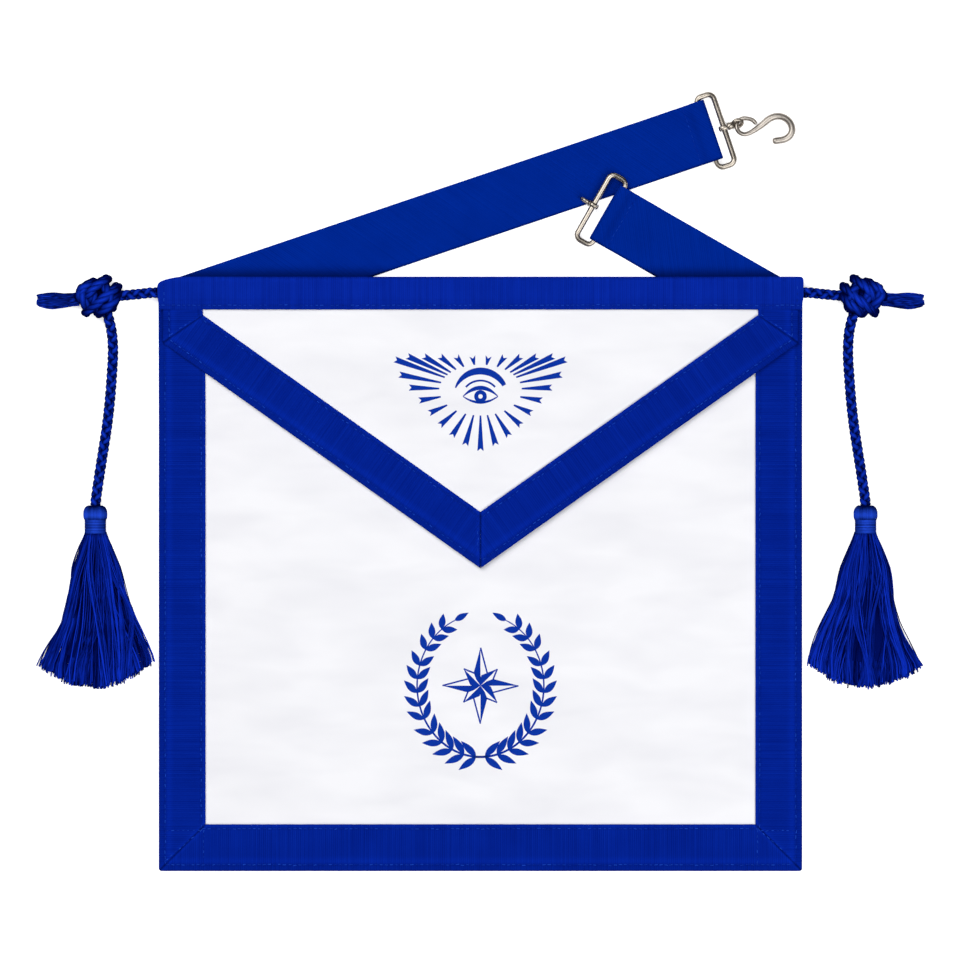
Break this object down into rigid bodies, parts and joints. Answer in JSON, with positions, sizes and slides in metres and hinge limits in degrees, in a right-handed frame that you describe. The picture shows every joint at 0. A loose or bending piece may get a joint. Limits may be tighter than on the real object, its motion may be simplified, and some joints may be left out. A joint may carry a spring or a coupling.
{
  "type": "masonic apron",
  "caption": "White lodge apron laid flat, with blue ribbon border, pointed flap, tasselled draw cord and a webbing belt with snake hook and eye.",
  "frame": {"origin": "the middle of the panel's flat back, on the surface that the apron lies on", "axes": "+Y up the apron towards its waistband, +X to the right seen from the front, +Z out of the front"},
  "size_m": [0.5602, 0.4911, 0.0192],
  "materials": {
    "white_leather": "smooth white imitation lambskin",
    "blue_ribbon": "royal blue grosgrain, fine ribs across",
    "blue_webbing": "royal blue twill webbing",
    "blue_cord": "braided rayon cord, slight sheen",
    "blue_tassel": "rayon bullion strands, slight sheen",
    "nickel": "bright nickel-plated steel wire"
  },
  "bodies": {
    "apron": {"apron_panel": "white_leather", "flap_panel": "white_leather", "edge_ribbon_left": "blue_ribbon", "edge_ribbon_right": "blue_ribbon", "edge_ribbon_bottom": "blue_ribbon", "flap_ribbon_left": "blue_ribbon", "flap_ribbon_right": "blue_ribbon", "flap_ribbon_side_left": "blue_ribbon", "flap_ribbon_side_right": "blue_ribbon", "waistband": "blue_ribbon", "long_strap": "blue_webbing", "short_strap": "blue_webbing", "casing_cord": "blue_cord", "side_cord_left": "blue_cord", "side_cord_right": "blue_cord", "tassel_cord_left": "blue_cord", "tassel_cord_right": "blue_cord", "knot_left": "blue_cord", "knot_right": "blue_cord", "tassel_head_left": "blue_tassel", "tassel_head_right": "blue_tassel", "tassel_skirt_left": "blue_tassel", "tassel_skirt_right": "blue_tassel"},
    "hook_loop": {"hook_frame": "nickel"},
    "hook_turn": {"hook_swivel": "nickel", "hook": "nickel"},
    "eye_loop": {"eye_frame": "nickel"},
    "eye_turn": {"eye_swivel": "nickel"}
  },
  "joints": [
    {"name": "hook_frame_swing", "type": "hinge", "parent": "apron", "child": "hook_loop", "pos_m": [0.1428, 0.27777, 0.0032], "axis": [0.3201, -0.9474, 0], "range_deg": [0, 140]},
    {"name": "hook_swivel_spin", "type": "hinge", "parent": "hook_loop", "child": "hook_turn", "pos_m": [0.1428, 0.27777, 0.0032], "axis": [0.9474, 0.3201, 0], "continuous": true},
    {"name": "eye_frame_swing", "type": "hinge", "parent": "apron", "child": "eye_loop", "pos_m": [0.08108, 0.22695, 0.00495], "axis": [0.4962, 0.8682, 0], "range_deg": [0, 140]},
    {"name": "eye_swivel_spin", "type": "hinge", "parent": "eye_loop", "child": "eye_turn", "pos_m": [0.08108, 0.22695, 0.00495], "axis": [-0.8682, 0.4962, 0], "continuous": true}
  ]
}
